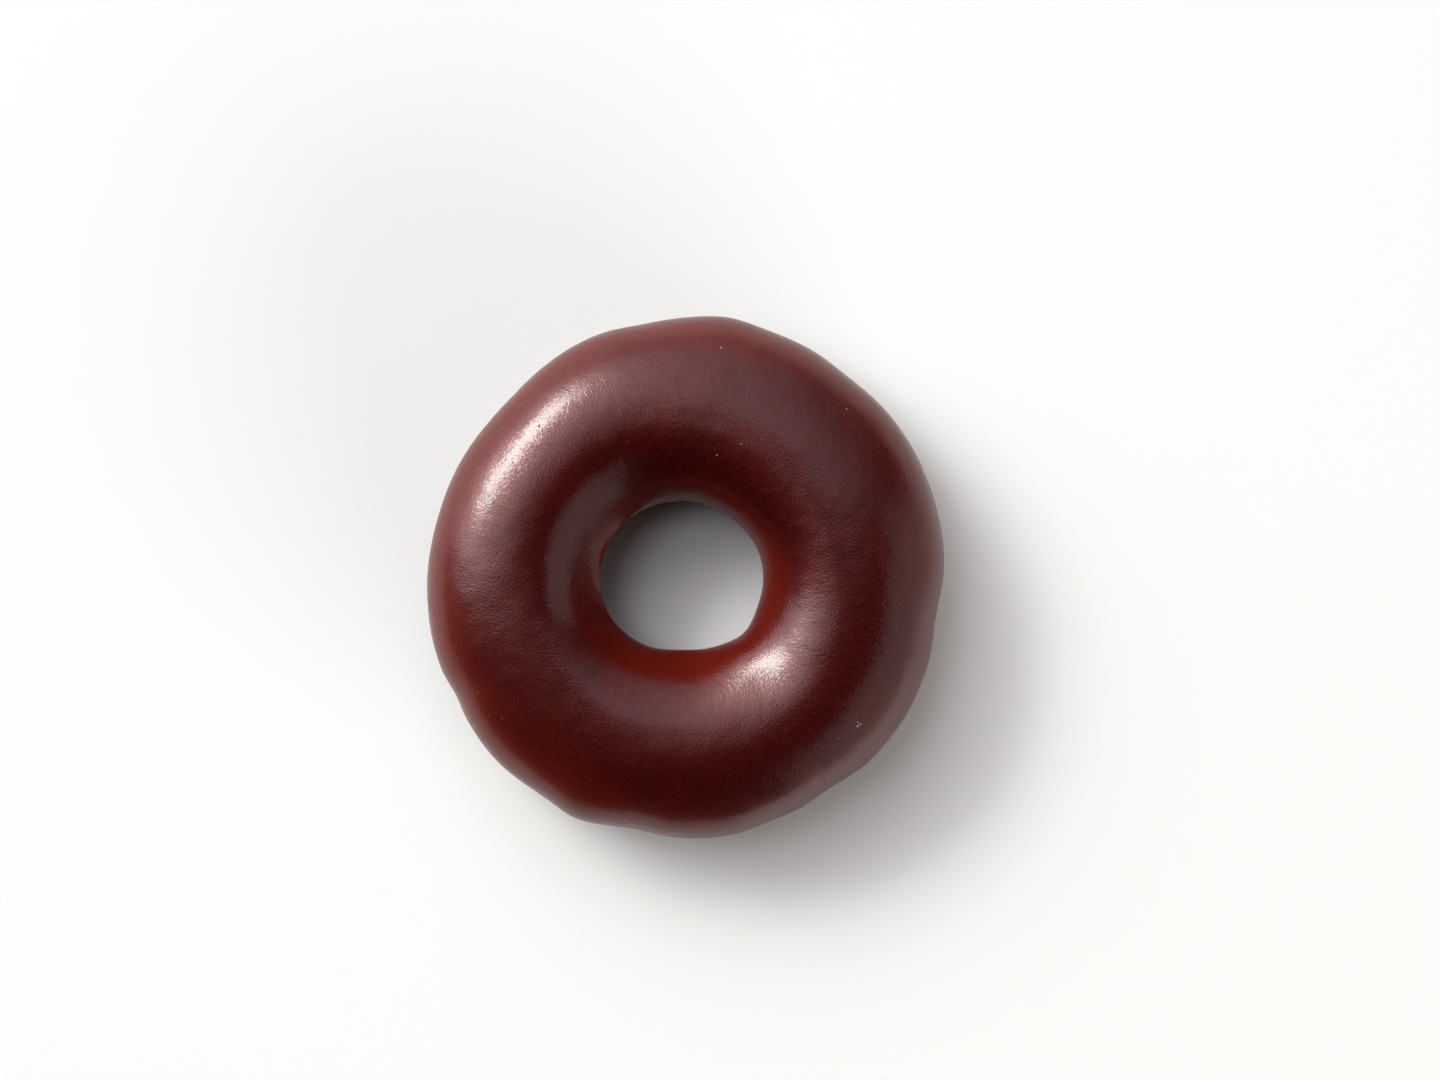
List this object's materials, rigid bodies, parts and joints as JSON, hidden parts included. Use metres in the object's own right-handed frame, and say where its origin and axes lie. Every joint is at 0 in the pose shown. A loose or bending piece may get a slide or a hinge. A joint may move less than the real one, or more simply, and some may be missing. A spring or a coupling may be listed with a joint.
{
  "type": "chocolate glazed ring doughnut",
  "caption": "Soft ring doughnut coated all over in dark chocolate glaze, lying flat, with a finger-wide round hole.",
  "frame": {"origin": "centre of the base of the doughnut's bounding box", "axes": "+Z up, out of the hole's top; +Y is up in the reference picture, which looks straight down"},
  "size_m": [0.0904, 0.0912, 0.0264],
  "materials": {
    "chocolate_glaze": "dark red-brown chocolate glaze, satin to glossy, with fine sugar grain and a few specks"
  },
  "bodies": {
    "root": {"doughnut": "chocolate_glaze"}
  },
  "joints": []
}
